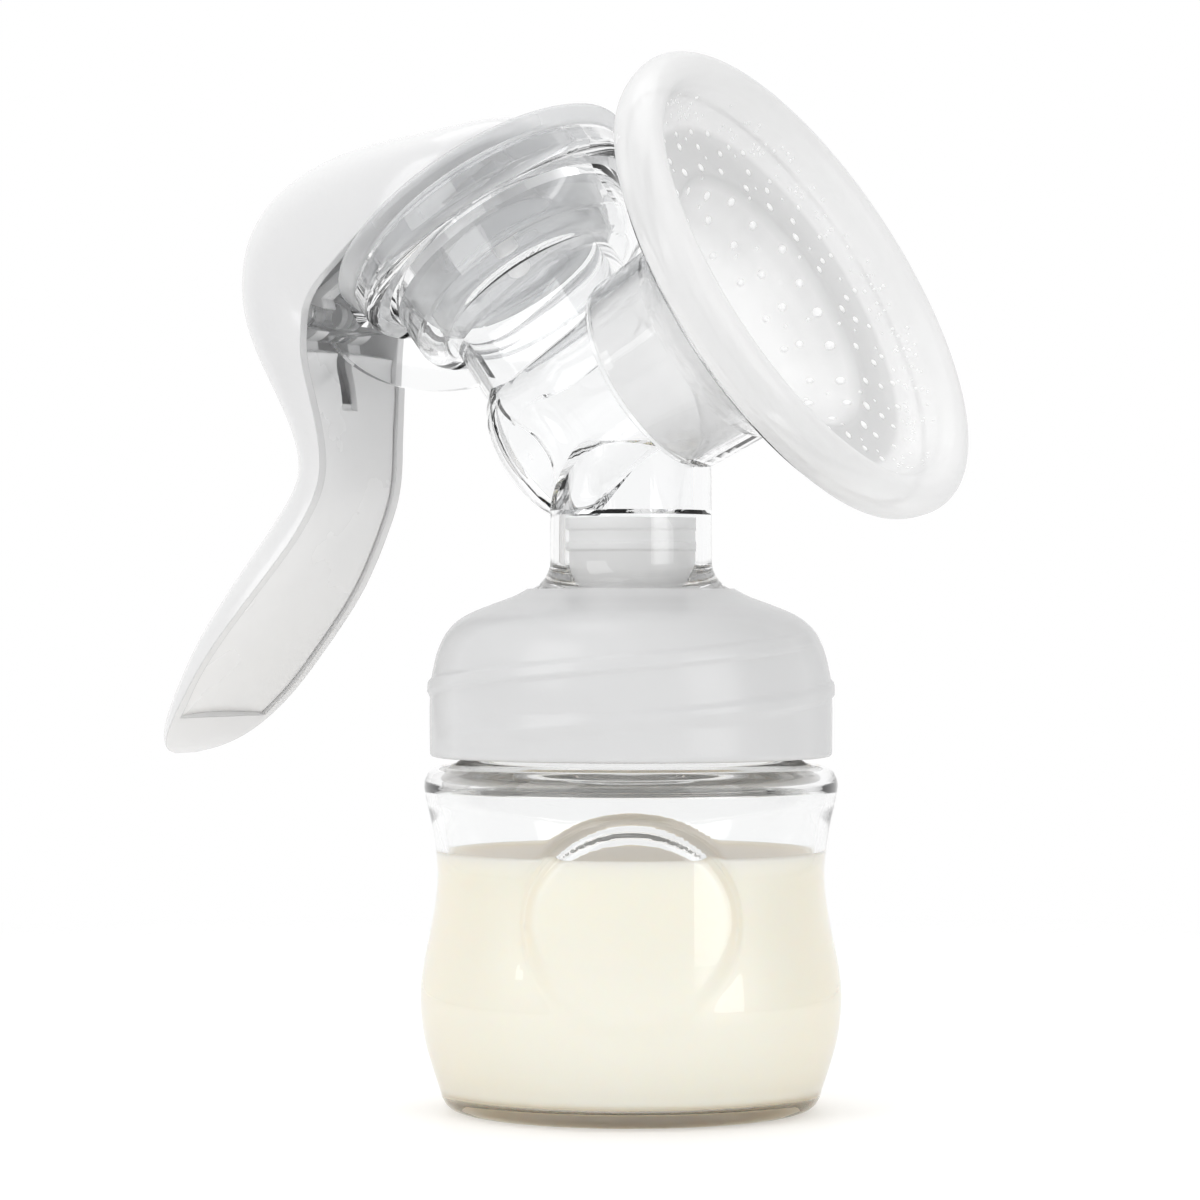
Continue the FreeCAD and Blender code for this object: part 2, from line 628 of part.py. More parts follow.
def station_frame(station):
    """A function placing (y, distance from rim towards spine), and the rim-to-spine depth."""
    (rim_x, rim_z), (spine_x, spine_z), _ = station
    depth = math.hypot(spine_x - rim_x, spine_z - rim_z)
    out_x, out_z = (spine_x - rim_x) / depth, (spine_z - rim_z) / depth

    def at(y, out):
        return V(rim_x + out_x * out, y, rim_z + out_z * out)

    return at, depth


def arch(station, start, end, count, inset):
    """Points over the spine between two angles, inset from the outer surface."""
    at, depth = station_frame(station)
    points = []
    for j in range(count):
        angle = math.radians(start + (end - start) * j / (count - 1))
        y = (station[2] - inset) * signed_power(math.cos(angle), 2.0 / SECTION_POWER)
        out = (depth - inset) * signed_power(math.sin(angle), 2.0 / SECTION_POWER)
        points.append(at(y, out))
    return points


def liner_row(station, drop, clearance, count=11):
    """Points across the handle, drop in from its open edge, bulging towards the spine."""
    at, depth = station_frame(station)
    bulge = min(1.3, 0.14 * depth)
    fill = max(0.0, 1 - (drop / (depth - HANDLE_WALL)) ** SECTION_POWER)
    half = (station[2] - HANDLE_WALL) * fill ** (1 / SECTION_POWER) - clearance
    points = []
    for j in range(count):
        u = -1.0 + 2.0 * j / (count - 1)
        points.append(at(half * u, drop + bulge * (1 - u * u)))
    return points


def skin(grid):
    surface = Part.BSplineSurface()
    surface.interpolate(grid)
    return surface.toShape()


def edge_between(shape, a, b):
    for edge in shape.Edges:
        u, v = edge.Vertexes[0].Point, edge.Vertexes[-1].Point
        for first, last in ((u, v), (v, u)):
            if (first - a).Length < SEW_TOLERANCE and (last - b).Length < SEW_TOLERANCE:
                return edge
    raise RuntimeError("edge not found")


def sewn_solid(faces):
    shell = Part.makeShell(faces)
    shell.sewShape(SEW_TOLERANCE)
    if shell.ShapeType != "Shell":
        shell = shell.Shells[0]
    solid = Part.makeSolid(shell)
    if solid.Volume < 0:
        solid.reverse()
    return solid


def capped(grid):
    """Solid from a grid of open sections: the skin, a lid across their ends, two flat ends."""
    top = skin(grid)
    sides = [edge_between(top, grid[0][k], grid[-1][k]) for k in (0, -1)]
    faces = [top, Part.makeRuledSurface(*sides)]
    for row in (grid[0], grid[-1]):
        edge = edge_between(top, row[0], row[-1])
        chord = Part.LineSegment(row[0], row[-1]).toShape()
        faces.append(Part.Face(Part.Wire(Part.__sortEdges__([edge, chord]))))
    return sewn_solid(faces)


def slab(near, far):
    """Solid between two grids, closed by ruled faces along all four sides."""
    skins = [skin(near), skin(far)]
    faces = list(skins)
    for k in (0, -1):
        faces.append(Part.makeRuledSurface(*[
            edge_between(s, g[0][k], g[-1][k]) for s, g in zip(skins, (near, far))]))
    for k in (0, -1):
        faces.append(Part.makeRuledSurface(*[
            edge_between(s, g[k][0], g[k][-1]) for s, g in zip(skins, (near, far))]))
    return sewn_solid(faces)


def build_handle_shell():
    outside = doc.addObject("Part::Feature", "handle_outside")
    outside.Shape = capped([arch(s, 0, 180, 17, 0) for s in STATIONS])
    inside = doc.addObject("Part::Feature", "handle_inside")
    inside.Shape = capped([
        arch(s, -HOLLOW_OVERRUN, 180 + HOLLOW_OVERRUN, 19, HANDLE_WALL)
        for s in HOLLOW_STATIONS])
    node("handle_shell", cut("handle_shell", outside, inside))


# ---------------------------------------------------------------------------
# Handle frame: the liner across the grip's open side, two hinge clips on the pin, struts
# between them, and the fork under the stem's head
# ---------------------------------------------------------------------------
CLIP_INNER_Y, CLIP_OUTER_Y = 5.0, 8.6
LINER_NEAR = (0.5, 0.35)  # drop from the open edge, side clearance
LINER_FAR = (1.8, 0.6)
WEB_SLOT_WIDTH = 4.4
FORK_THICK = 1.6
FORK_BACK = -25.0  # across the cup, where the two arms join
FORK_TIP = 5.4
FORK_SLOT_END = -4.2
FORK_TIP_HALF = 6.2
THROAT_WIDTH = 3.7  # a little narrower than the pin, so that the clip snaps on
THROAT_TILT = 18  # opens towards +X and slightly down
THROUGH = 40  # length in Y of the tools that pass through both clips


def build_fork():
    """Arms beside the lug, one plate over the cup, and an open slot round the stem."""
    x, z = val("pivot_x") - val("cup_x"), val("pivot_z") - val("cup_z")
    pivot_across = x * LEAN_COS + z * LEAN_SIN
    pivot_up = -x * LEAN_SIN + z * LEAN_COS
    arm_end = pivot_across - 1.0
    slot = dim("fork_slot")
    fork = pad("stem_fork", "XY_Plane", [
        (arm_end, CLIP_OUTER_Y), (arm_end, CLIP_INNER_Y), (FORK_BACK, CLIP_INNER_Y),
        (FORK_BACK, -CLIP_INNER_Y), (arm_end, -CLIP_INNER_Y), (arm_end, -CLIP_OUTER_Y),
        (-24.0, -CLIP_OUTER_Y), (FORK_TIP, -FORK_TIP_HALF), (FORK_TIP, -slot),
        (FORK_SLOT_END, -slot), (FORK_SLOT_END, slot), (FORK_TIP, slot),
        (FORK_TIP, FORK_TIP_HALF), (-24.0, CLIP_OUTER_Y),
    ], FORK_THICK)
    fork.Placement = CUP.multiply(place(0, 0, pivot_up - FORK_THICK / 2))
    return fork


def build_struts():
    """A plate from the clips down to the liner, with its middle cut away."""
    x, z = dims("pivot_x", "pivot_z")
    strut = pad("frame_strut", "XZ_Plane", [
        (x - 3.9, z + 1.0), (x + 1.0, z - 3.6), (-52.9, 108.2), (-54.6, 108.2),
    ], 2 * CLIP_OUTER_Y)
    middle = pad("frame_strut_gap", "XZ_Plane", [
        (x - 14, z + 8), (x + 10, z + 8), (x + 10, 111.5), (x - 14, 111.5),
    ], 2 * CLIP_INNER_Y)
    return cut("frame_struts", strut, middle)


def build_handle_frame():
    liner = doc.addObject("Part::Feature", "grip_liner")
    liner.Shape = slab([liner_row(s, *LINER_NEAR) for s in LINER_STATIONS],
                       [liner_row(s, *LINER_FAR) for s in LINER_STATIONS])
    # The body's web passes through this slot when the handle is squeezed.
    web_slot = box("liner_web_slot", 30, WEB_SLOT_WIDTH, 20,
                   place(-70, -WEB_SLOT_WIDTH / 2, 110.4))
    slotted = cut("liner_slotted", liner, web_slot)
    clips = [
        pivot_cylinder("clip_ring_%d" % k, dim("clip_r"), start_y, CLIP_OUTER_Y - CLIP_INNER_Y)
        for k, start_y in enumerate((CLIP_OUTER_Y, -CLIP_INNER_Y), start=1)
    ]
    fork = build_fork()
    struts = build_struts()
    raw = fuse("frame_raw", slotted, fork, struts, *clips)
    hole = pivot_cylinder("pin_hole", dim("pin_r") + dim("clip_gap"), THROUGH / 2, THROUGH)
    throat_frame = place(val("pivot_x"), -THROUGH / 2, val("pivot_z"), THROAT_TILT)
    throat = box("clip_throat", 8, THROUGH, THROAT_WIDTH,
                 throat_frame.multiply(place(0, 0, -THROAT_WIDTH / 2)))
    bore = fuse("frame_bore", hole, throat)
    node("handle_frame", cut("handle_frame", raw, bore))


build_bottle()
build_collar()
build_pump_body()
build_valve()
build_cushion()
build_diaphragm()
build_stem()
build_handle_shell()
build_handle_frame()

# ---------------------------------------------------------------------------
# Checks, then one STEP file per piece
# ---------------------------------------------------------------------------
doc.recompute()
bad = []
for obj in doc.Objects:
    if "Invalid" in obj.State or "Error" in obj.State:
        bad.append("%s %s" % (obj.Name, obj.State))
for name, obj in NODES.items():
    if obj.Shape.isNull() or not obj.Shape.isValid():
        bad.append("%s shape null or invalid" % name)
    elif len(obj.Shape.Solids) != 1:
        bad.append("%s has %d solids" % (name, len(obj.Shape.Solids)))
if bad:
    print("\n".join(bad))
    sys.exit(1)
os.makedirs("parts", exist_ok=True)
for name, obj in NODES.items():
    obj.Shape.exportStep("parts/%s.step" % name)
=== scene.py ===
"""A hand-operated breast pump standing on a pale floor.

The bottle stands on z = 0 around the Z axis, with the screw collar and the duckbill valve above
it. The massage cushion opens towards +X and slightly up, the diaphragm faces up and towards -X.
Shapes are given in millimetres and scaled to metres as meshes are made; materials, lights and
the camera are in metres.
"""
import bpy, bmesh, math, random
from collections import namedtuple
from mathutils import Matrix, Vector


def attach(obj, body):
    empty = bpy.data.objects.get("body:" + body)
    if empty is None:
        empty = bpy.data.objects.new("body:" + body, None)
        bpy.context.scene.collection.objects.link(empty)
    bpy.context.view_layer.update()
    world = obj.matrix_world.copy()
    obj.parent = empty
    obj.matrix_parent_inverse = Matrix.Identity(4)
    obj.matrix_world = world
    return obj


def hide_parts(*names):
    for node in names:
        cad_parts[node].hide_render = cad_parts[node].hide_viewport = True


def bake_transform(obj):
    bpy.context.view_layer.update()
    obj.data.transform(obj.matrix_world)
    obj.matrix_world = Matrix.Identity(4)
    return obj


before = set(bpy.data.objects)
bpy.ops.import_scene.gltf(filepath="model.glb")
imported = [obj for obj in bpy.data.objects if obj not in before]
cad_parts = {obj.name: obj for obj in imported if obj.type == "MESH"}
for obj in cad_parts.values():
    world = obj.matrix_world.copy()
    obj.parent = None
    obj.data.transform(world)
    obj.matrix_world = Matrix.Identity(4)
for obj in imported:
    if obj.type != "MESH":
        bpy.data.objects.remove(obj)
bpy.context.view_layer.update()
scene = bpy.context.scene
MM = 0.001
TURN = 2 * math.pi

# ---------------------------------------------------------------- places and shared sizes, mm
# A turned piece lies around an axis; its angles start at the direction zero.
Place = namedtuple("Place", "origin axis zero")
UP = Vector((0, 0, 1))
UPRIGHT = Place(Vector((0, 0, 0)), UP, Vector((1, 0, 0)))
LEAN, RISE = math.radians(36.08), math.radians(28.68)
DIAPHRAGM = Place(Vector((-27.75, 0, 142.38)),
                  Vector((-math.sin(LEAN), 0, math.cos(LEAN))),
                  Vector((math.cos(LEAN), 0, math.sin(LEAN))))
CUSHION = Place(Vector((29.75, 0, 128.41)),
                Vector((math.cos(RISE), 0, math.sin(RISE))),
                Vector((-math.sin(RISE), 0, math.cos(RISE))))

# The screw thread shared by the bottle's neck and the collar
THREAD_HEIGHT = 1.8
THREAD = dict(bottom=58.6, lead=6.0, turns=1.25, half_base=1.35, half_crest=0.7,
              fade_in=0.05, fade_out=0.05)

# The round pad on the bottle's side, turned to the camera
PAD_ANGLE, PAD_Z = math.radians(-61.0), 30.4
PAD_OUTER_RADIUS, PAD_INNER_RADIUS = 33.5, 31.65
PAD_OUTER = dict(edge=17.2, soft=3.0)
PAD_INNER = dict(edge=16.4, soft=3.4)


# ---------------------------------------------------------------- mesh helpers
def add_mesh(name, verts, faces, mat, sharp=None):
    """Smooth-shaded mesh object; edges steeper than sharp degrees stay crisp."""
    mesh = bpy.data.meshes.new(name)
    mesh.from_pydata([tuple(v) for v in verts], [], faces)
    bm = bmesh.new()
    bm.from_mesh(mesh)
    bmesh.ops.remove_doubles(bm, verts=bm.verts, dist=1e-7)
    bmesh.ops.recalc_face_normals(bm, faces=bm.faces)
    bm.to_mesh(mesh)
    bm.free()
    for polygon in mesh.polygons:
        polygon.use_smooth = True
    if sharp is not None:
        mesh.set_sharp_from_angle(angle=math.radians(sharp))
    ob = bpy.data.objects.new(name, mesh)
    scene.collection.objects.link(ob)
    mesh.materials.append(mat)
    return ob


def catmull_rom(t, before, start, end, after):
    return 0.5 * (2 * start + (end - before) * t
                  + (2 * before - 5 * start + 4 * end - after) * t * t
                  + (3 * start - before - 3 * end + after) * t ** 3)


def smooth_curve(points, steps):
    """Catmull-Rom curve through the points, with steps to a span."""
    padded = [points[0]] + points + [points[-1]]
    out = []
    for span in zip(padded, padded[1:], padded[2:], padded[3:]):
        for k in range(steps):
            out.append(tuple(catmull_rom(k / steps, *coords) for coords in zip(*span)))
    out.append(tuple(points[-1]))
    return out


def rounded(corners, steps):
    """Closed outline of corners (x, y, radius), each turned into an arc."""
    out = []
    for i, (x, y, radius) in enumerate(corners):
        corner = Vector((x, y))
        to_last = Vector(corners[i - 1][:2]) - corner
        to_next = Vector(corners[(i + 1) % len(corners)][:2]) - corner
        # an arc takes up at most this much of either side
        room = min(to_last.length * 0.48, to_next.length * 0.48)
        to_last.normalize()
        to_next.normalize()
        half = math.acos(max(-1, min(1, to_last.dot(to_next)))) / 2
        cut = min(radius / math.tan(half), room)
        arc_radius = cut * math.tan(half)
        centre = corner + (to_last + to_next).normalized() * (arc_radius / math.sin(half))
        start = corner + to_last * cut - centre
        end = corner + to_next * cut - centre
        sweep = start.angle_signed(end)
        for k in range(steps + 1):
            angle = -sweep * k / steps
            cos, sin = math.cos(angle), math.sin(angle)
            out.append((centre.x + start.x * cos - start.y * sin,
                        centre.y + start.x * sin + start.y * cos))
    return out


def lathe(name, profile, place, mat, segs, closed=True, warp=None, sharp=None):
    """Turn a profile of (radius, height along the axis) around a place.

    An open profile starts and ends on the axis. warp(angle, radius, height, index) moves a point.
    """
    origin, axis, zero = place
    side = axis.cross(zero)
    n = len(profile)
    verts, faces = [], []
    for i in range(segs):
        angle = TURN * i / segs
        outward = zero * math.cos(angle) + side * math.sin(angle)
        for k, (radius, height) in enumerate(profile):
            if warp is not None:
                radius, height = warp(angle, radius, height, k)
            verts.append((origin + axis * height + outward * radius) * MM)
    for i in range(segs):
        j = (i + 1) % segs
        for k in range(n if closed else n - 1):
            q = (k + 1) % n
            faces.append((i * n + k, j * n + k, j * n + q, i * n + q))
    return add_mesh(name, verts, faces, mat, sharp)


def smooth_step(x):
    x = max(0.0, min(1.0, x))
    return x * x * (3 - 2 * x)


def helix_height(angle, z, start, bottom, lead, turns, half_base, half_crest, fade_in, fade_out):
    """1 on the crest of a helical ridge, 0 off it.

    It starts at start degrees and height bottom; the fades are in turns.
    """
    first = ((angle - math.radians(start)) % TURN) / TURN
    best = 0.0
    for k in range(int(turns) + 1):
        along = first + k
        if along > turns:
            continue
        ends = smooth_step(along / fade_in) * smooth_step((turns - along) / fade_out)
        off_crest = abs(z - bottom - lead * along)
        best = max(best, ends * smooth_step((half_base - off_crest) / (half_base - half_crest)))
    return best


# ---------------------------------------------------------------- shader helpers
class Graph:
    """The node tree of a material or a world."""

    def __init__(self, owner, output="ShaderNodeOutputMaterial"):
        owner.use_nodes = True
        self.owner = owner
        self.tree = owner.node_tree
        self.tree.nodes.clear()
        self.out = self.node(output)

    def node(self, kind, inputs=(), **props):
        """Add a node; an input is given either a value or a socket to link from."""
        node = self.tree.nodes.new(kind)
        for key, value in props.items():
            setattr(node, key, value)
        for key, value in dict(inputs).items():
            if isinstance(value, bpy.types.NodeSocket):
                self.tree.links.new(value, node.inputs[key])
            else:
                node.inputs[key].default_value = value
        return node

    def finish(self, shader):
        self.tree.links.new(shader, self.out.inputs["Surface"])
        return self.owner

    def principled(self, inputs):
        return self.node("ShaderNodeBsdfPrincipled", inputs).outputs[0]

    def coords(self):
        return self.node("ShaderNodeTexCoord").outputs["Object"]

    def noise(self, scale, detail):
        inputs = {"Scale": scale, "Detail": detail, "Roughness": 0.5, "Vector": self.coords()}
        return self.node("ShaderNodeTexNoise", inputs).outputs["Fac"]

    def calc(self, operation, *inputs):
        return self.node("ShaderNodeMath", enumerate(inputs), operation=operation).outputs[0]

    def vector(self, operation, *inputs):
        node = self.node("ShaderNodeVectorMath", enumerate(inputs), operation=operation)
        return node.outputs["Value" if operation in ("LENGTH", "DOT_PRODUCT") else "Vector"]

    def ramp(self, fac, stops):
        """Colour ramp through stops of (position, colour)."""
        node = self.node("ShaderNodeValToRGB", {"Fac": fac})
        elements = node.color_ramp.elements
        while len(elements) < len(stops):
            elements.new(0.5)
        for element, (position, colour) in zip(elements, stops):
            element.position = position
            element.color = (*colour, 1.0)
        return node.outputs["Color"]

    def map_range(self, value, low, high, start=0.0, end=1.0, curve="LINEAR"):
        """Run from low to high as value goes from start to end."""
        inputs = {"Value": value, "From Min": start, "From Max": end,
                  "To Min": low, "To Max": high}
        return self.node("ShaderNodeMapRange", inputs, interpolation_type=curve).outputs["Result"]

    def facing(self, blend):
        """0 where the wall is seen face on, 1 where it is seen edge on."""
        return self.node("ShaderNodeLayerWeight", {"Blend": blend}).outputs["Facing"]

    def multiply(self, colour, factor):
        return self.node("ShaderNodeMix", {0: 1.0, 6: colour, 7: factor},
                         data_type="RGBA", blend_type="MULTIPLY").outputs[2]

    def painted_shade_rings(self, colour, place, reach, stops):
        """Multiply a colour by painted shade given as (mm from the place's axis, grey), up to reach
        mm.
        """
        offset = self.vector("SUBTRACT", self.coords(), tuple(place.origin * MM))
        distance = self.vector("LENGTH", self.vector("CROSS_PRODUCT", offset, tuple(place.axis)))
        painted_greys = [(radius / reach, (grey, grey, grey)) for radius, grey in stops]
        return self.multiply(colour, self.ramp(self.calc("DIVIDE", distance, reach * MM), painted_greys))

    def limb_shaded(self, colour, edge, start=0.45):
        """Darken a colour with painted shade where the wall is seen edge on."""
        stops = [(0.0, (1, 1, 1)), (start, (1, 1, 1)), (1.0, edge)]
        return self.multiply(colour, self.ramp(self.facing(blend=0.4), stops))

    def bump(self, height, strength, distance, **normal):
        inputs = {"Strength": strength, "Distance": distance, "Height": height, **normal}
        return self.node("ShaderNodeBump", inputs).outputs["Normal"]

    def mix_clear(self, fac, surface, colour=(1, 1, 1)):
        """Blend a surface into plain transparency as fac goes to 1."""
        clear = self.node("ShaderNodeBsdfTransparent", {"Color": (*colour, 1)}).outputs[0]
        return self.node("ShaderNodeMixShader", {"Fac": fac, 1: surface, 2: clear}).outputs[0]


# ---------------------------------------------------------------- kinds of material
def clear_plastic(name, tint, ior, wave):
    """Clear moulded plastic: faint flow waviness, fine wipe marks in the roughness, painted shade
    where the wall is seen edge on, and shadows that stay light."""
    graph = Graph(bpy.data.materials.new(name))
    # painted shade: a grey tint on walls seen edge on, for the darker surroundings they refract
    edge = (0.88, 0.89, 0.90)
    shadow = (0.9, 0.9, 0.9)
    flow = graph.noise(scale=28.0, detail=2.0)
    wipe_marks = graph.noise(scale=260.0, detail=2.0)
    surface = graph.principled({
        "IOR": ior,
        "Transmission Weight": 1.0,
        "Base Color": graph.ramp(graph.facing(blend=0.28), [(0.0, tint), (0.62, tint), (1.0, edge)]),
        "Roughness": graph.map_range(wipe_marks, low=0.0, high=0.035),
        "Normal": graph.bump(flow, strength=wave, distance=0.002),
    })
    rays = graph.node("ShaderNodeLightPath").outputs
    lit_through = graph.calc("MAXIMUM", rays["Is Shadow Ray"], rays["Is Diffuse Ray"])
    return graph.finish(graph.mix_clear(lit_through, surface, shadow))


def solid_plastic(name, dark, light, rough, coat, scatter=0.15):
    """Moulded opaque plastic: faint colour drift, satin variation, fine grain, softened edges."""
    graph = Graph(bpy.data.materials.new(name))
    drift = graph.noise(scale=18.0, detail=3.0)
    satin = graph.noise(scale=55.0, detail=4.0)
    grain = graph.noise(scale=900.0, detail=2.0)
    soft_edge = graph.node("ShaderNodeBevel", {"Radius": 0.0004}, samples=4).outputs["Normal"]
    return graph.finish(graph.principled({
        "Base Color": graph.ramp(drift, [(0.35, dark), (0.65, light)]),
        "Roughness": graph.map_range(satin, *rough),
        "Subsurface Weight": scatter,
        "Subsurface Radius": (0.003, 0.003, 0.003),
        "Subsurface Scale": 1.0,
        "Coat Weight": coat,
        "Coat Roughness": 0.06,
        "Normal": graph.bump(grain, strength=0.02, distance=0.0005, Normal=soft_edge),
    }))


def silicone(name, colour, rough, through=0.0, scatter=0.0, depth=0.006, grain=0.06, sheen=0.25,
             tint=(0.93, 0.935, 0.94), shade=0.55, shade_rings=None, limb_shade=None, veil=None):
    """Moulded silicone rubber: it scatters light, with a velvety grain and a grazing sheen.

    through is the blurred transmission, depth how far light scatters inside, tint and shade the
    colour and strength of light in its shadow, shade_rings the painted shade in rings around an
    axis, limb_shade the painted shade where the wall is seen edge on, and veil the clear share of
    a thin wall seen face on and edge on.
    """
    graph = Graph(bpy.data.materials.new(name))
    darker = tuple(c * 0.965 for c in colour)
    base = graph.ramp(graph.noise(scale=40.0, detail=3.0), [(0.35, darker), (0.65, colour)])
    # painted shade in rings around an axis
    if shade_rings is not None:
        base = graph.painted_shade_rings(base, **shade_rings)
    # painted shade where the wall is seen edge on
    if limb_shade is not None:
        base = graph.limb_shaded(base, limb_shade)
    fine_grain = graph.noise(scale=1600.0, detail=2.0)
    surface = graph.principled({
        "IOR": 1.41,
        "Base Color": base,
        "Roughness": graph.map_range(graph.noise(scale=140.0, detail=3.0), *rough),
        "Transmission Weight": through,
        "Subsurface Weight": scatter,
        "Subsurface Radius": (depth, depth, depth),
        "Subsurface Scale": 1.0,
        "Sheen Weight": sheen,
        "Sheen Roughness": 0.4,
        "Normal": graph.bump(fine_grain, strength=grain, distance=0.0004),
    })
    if veil is not None:
        clear_share = graph.map_range(graph.facing(blend=0.35), *veil)
        surface = graph.mix_clear(clear_share, surface, tint)
    shadow_ray = graph.node("ShaderNodeLightPath").outputs["Is Shadow Ray"]
    return graph.finish(graph.mix_clear(shadow_ray, surface, tuple(c * shade for c in tint)))


def milk_material():
    """Cream liquid that scatters light, with painted shade where its surface is seen edge on."""
    graph = Graph(bpy.data.materials.new("milk"))
    cream = graph.ramp(graph.noise(scale=22.0, detail=2.0),
                       [(0.3, (0.965, 0.905, 0.775)), (0.7, (0.975, 0.92, 0.81))])
    ripple = graph.noise(scale=60.0, detail=1.0)
    return graph.finish(graph.principled({
        # painted shade: the cream deepens to tan where the surface is seen edge on
        "Base Color": graph.limb_shaded(cream, edge=(0.84, 0.74, 0.57), start=0.08),
        "Roughness": 0.28,
        "Subsurface Weight": 0.6,
        "Subsurface Radius": (0.006, 0.005, 0.004),
        "Subsurface Scale": 1.0,
        "Normal": graph.bump(ripple, strength=0.02, distance=0.001),
    }))


def floor_material():
    """Pale matt floor, slightly lifted to the camera, that fades out away from the object."""
    graph = Graph(bpy.data.materials.new("floor_pale"))
    ray = graph.node("ShaderNodeLightPath").outputs["Is Camera Ray"]
    surface = graph.principled({
        "Base Color": graph.ramp(graph.noise(scale=3.0, detail=2.0),
                                 [(0.3, (0.90, 0.90, 0.90)), (0.7, (0.93, 0.93, 0.93))]),
        "Roughness": 0.55,
        "Specular IOR Level": 0.1,
        "Emission Strength": graph.calc("MULTIPLY", ray, 0.12),
    })
    distance = graph.vector("LENGTH", graph.coords())
    fade = graph.map_range(distance, low=0.0, high=1.0, start=0.14, end=0.42, curve="SMOOTHSTEP")
    return graph.finish(graph.mix_clear(fade, surface))


# ---------------------------------------------------------------- materials of the object
# Painted shade on the cushion by distance from its axis: (mm, grey); dark in the throat, light on
# the neck, greyer over the face and darkest over the band from 22 to 30 mm
CUSHION_PAINTED_SHADE = [(12.2, 0.69), (12.9, 1.0), (15.2, 1.0), (17.5, 0.85), (21.0, 0.87),
                 (22.4, 0.65), (29.6, 0.67), (30.6, 0.86), (41.0, 0.86)]

clear_bottle = clear_plastic("clear_bottle", tint=(0.970, 0.973, 0.973), ior=1.49, wave=0.02)
clear_body = clear_plastic("clear_body", tint=(0.985, 0.988, 0.99), ior=1.5, wave=0.03)
# painted shade: the collar turns darker grey where its wall is seen edge on
frosted = silicone(
    "frosted_collar", colour=(0.70, 0.702, 0.705), rough=(0.18, 0.26), through=0.06,
    scatter=0.06, depth=0.002, grain=0.04, sheen=0.1, shade=0.6, limb_shade=(0.66, 0.66, 0.665))
valve_white = silicone(
    "white_silicone", colour=(0.96, 0.96, 0.955), rough=(0.32, 0.45), through=0.05, scatter=0.5)
# painted shade: greys in rings around the cushion's axis, and darker where the wall is seen edge on
cushion_mat = silicone(
    "cushion_silicone", colour=(0.99, 0.99, 0.99), rough=(0.20, 0.30),
    tint=(0.985, 0.985, 0.985), shade=0.92, limb_shade=(0.78, 0.78, 0.785), veil=(0.46, 0.12),
    shade_rings=dict(place=CUSHION, reach=42.0, stops=CUSHION_PAINTED_SHADE))
# painted shade: the diaphragm darkens strongly where its wall is seen edge on
diaphragm_mat = silicone(
    "diaphragm_silicone", colour=(0.86, 0.863, 0.867), rough=(0.06, 0.14), grain=0.02,
    sheen=0.05, tint=(0.95, 0.953, 0.957), shade=0.92, limb_shade=(0.50, 0.505, 0.51),
    veil=(0.78, 0.30))
dot_mat = silicone(
    "cushion_silicone_dots", colour=(1.0, 1.0, 1.0), rough=(0.28, 0.38), scatter=0.2, sheen=0.6)
handle_white = solid_plastic(
    "handle_white", dark=(0.73, 0.73, 0.735), light=(0.77, 0.77, 0.77), rough=(0.16, 0.26),
    coat=0.4)
frame_white = solid_plastic(
    "frame_white", dark=(0.84, 0.845, 0.85), light=(0.88, 0.88, 0.88), rough=(0.22, 0.32),
    coat=0.2)
stem_white = solid_plastic(
    "stem_plastic", dark=(0.86, 0.86, 0.86), light=(0.90, 0.90, 0.90), rough=(0.25, 0.36),
    coat=0.1, scatter=0.3)
milk_mat = milk_material()

# CAD pieces that keep their own shape: (node, material, slot)
for node, mat, slot in [("pump_body", clear_body, "clear_body"),
                        ("handle_shell", handle_white, "handle_white"),
                        ("handle_frame", frame_white, "frame_white"),
                        ("diaphragm_stem", stem_white, "stem_plastic")]:
    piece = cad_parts[node]
    piece.data.materials.clear()
    piece.data.materials.append(mat)

# ---------------------------------------------------------------- massage cushion
# Outlines of (radius, height along the cushion's axis): the underside, the rolled rim and the
# face that runs down into the throat
CUSHION_SEAT = [(15.15, -17.9), (17.6, -13.85), (21.95, -10.1), (27.8, -7.2), (33.4, -4.9),
                (36.0, -3.8)]
CUSHION_LIP = [(37.5, -5.0), (39.2, -4.5), (40.3, -2.7), (40.8, -0.2), (40.2, 1.6),
               (38.9, 2.75), (37.4, 3.0), (35.9, 2.4), (35.0, 1.3), (34.5, 0.1)]
CUSHION_FACE = [(34.5, 0.1), (33.2, -2.3), (31.2, -4.0), (28.2, -4.9), (24.8, -5.4),
                (22.9, -5.55), (21.8, -6.3), (19.6, -9.0), (15.8, -13.4), (13.6, -18.6),
                (12.6, -23.0)]
# the span before the face only sets its starting slope
face_curve = smooth_curve([CUSHION_LIP[-2]] + CUSHION_FACE, 6)[6:]


def build_cushion():
    profile = ([(12.55, -29.1), (14.3, -29.1), (14.45, -28.9)]
               + smooth_curve(CUSHION_SEAT, 5) + [(36.9, -3.75), (37.25, -4.3)]
               + smooth_curve(CUSHION_LIP, 5)[:-1] + face_curve + [(12.4, -28.9)])
    cushion = lathe("cushion_liner", profile, CUSHION, cushion_mat, segs=224)
    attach(cushion, "cushion")
    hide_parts("massage_cushion")


# ---------------------------------------------------------------- dots on the cushion's face
# Rings of dots: (radius, count, dot radius)
DOT_RINGS = [(15.2, 14, 0.62), (17.6, 16, 0.72), (20.6, 20, 0.78), (23.8, 22, 0.72),
             (27.0, 26, 0.6), (29.8, 32, 0.48)]
SMALL_DOT = 0.3
RIM_DOTS = 260
DOT_DOME = 0.42  # height of a dot over its radius
DOT_SINK = 0.02  # how far a dot is set into the face
DOT_LEVELS, DOT_SEGS = 4, 12


